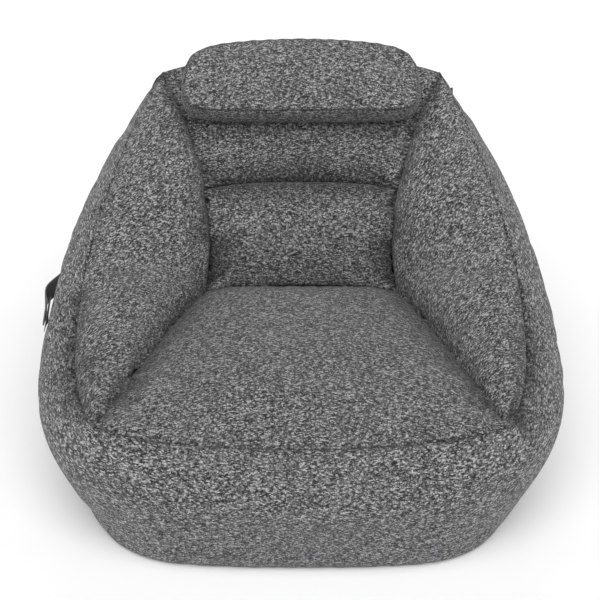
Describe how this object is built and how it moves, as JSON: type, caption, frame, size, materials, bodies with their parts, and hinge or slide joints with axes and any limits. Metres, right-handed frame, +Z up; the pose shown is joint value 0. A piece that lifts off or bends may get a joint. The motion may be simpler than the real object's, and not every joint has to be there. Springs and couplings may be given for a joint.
{
  "type": "bean-filled lounge chair",
  "caption": "Low bean-filled lounge armchair in heather-grey woven fabric, with sloping arms, a swinging headrest pillow, a webbing side handle and a filling zip.",
  "frame": {"origin": "on the floor under the middle of the base, at the centre of the mount base", "axes": "+Z up, -Y out of the front of the seat, -X towards the side that has the carry handle"},
  "size_m": [0.948, 0.9177, 0.7124],
  "materials": {
    "cover_fabric": "coarse melange plain weave, grey with light and near-black yarns",
    "base_fabric": "coated hard-wearing base cloth",
    "webbing": "flat woven webbing",
    "bead_fill": "expanded foam beads",
    "fibre_fill": "loose polyester fibre",
    "hook_and_loop": "hook-and-loop tape",
    "zip_tape": "woven zip tape",
    "zip_plastic": "moulded coil",
    "zip_metal": "satin die-cast"
  },
  "bodies": {
    "chair": {"seat_panel": "cover_fabric", "lumbar_panel": "cover_fabric", "upper_back_panel": "cover_fabric", "arm_panel_left": "cover_fabric", "arm_panel_right": "cover_fabric", "outer_wrap": "cover_fabric", "rear_panel": "cover_fabric", "headrest_flap": "cover_fabric", "base_panel": "base_fabric", "handle_strap": "webbing", "handle_patch_front": "webbing", "handle_patch_rear": "webbing", "seat_fill": "bead_fill", "back_fill": "bead_fill", "arm_fill_left": "bead_fill", "arm_fill_right": "bead_fill", "flap_hook_strip": "hook_and_loop", "flap_loop_strip": "hook_and_loop", "zip_tape_upper": "zip_tape", "zip_tape_lower": "zip_tape", "zip_coil_upper": "zip_plastic", "zip_coil_lower": "zip_plastic", "zip_top_stop": "zip_metal", "zip_bottom_stop": "zip_metal"},
    "headrest": {"headrest_front_panel": "cover_fabric", "headrest_boxing": "cover_fabric", "headrest_back_panel": "cover_fabric", "headrest_fill": "fibre_fill"},
    "slider": {"zip_slider": "zip_metal"},
    "puller": {"zip_puller": "zip_metal"}
  },
  "joints": [
    {"name": "headrest_hinge", "type": "hinge", "parent": "chair", "child": "headrest", "pos_m": [0, 0.32298, 0.67406], "axis": [-1, 0, 0], "range_deg": [0, 170]},
    {"name": "slider_run", "type": "slide", "parent": "chair", "child": "slider", "axis": [-1, 0, 0], "range_m": [0, 0.256]},
    {"name": "puller_swing", "type": "hinge", "parent": "slider", "child": "puller", "pos_m": [0.128, 0.45989, 0.3508], "axis": [0, 0, -1], "range_deg": [0, 150]}
  ]
}
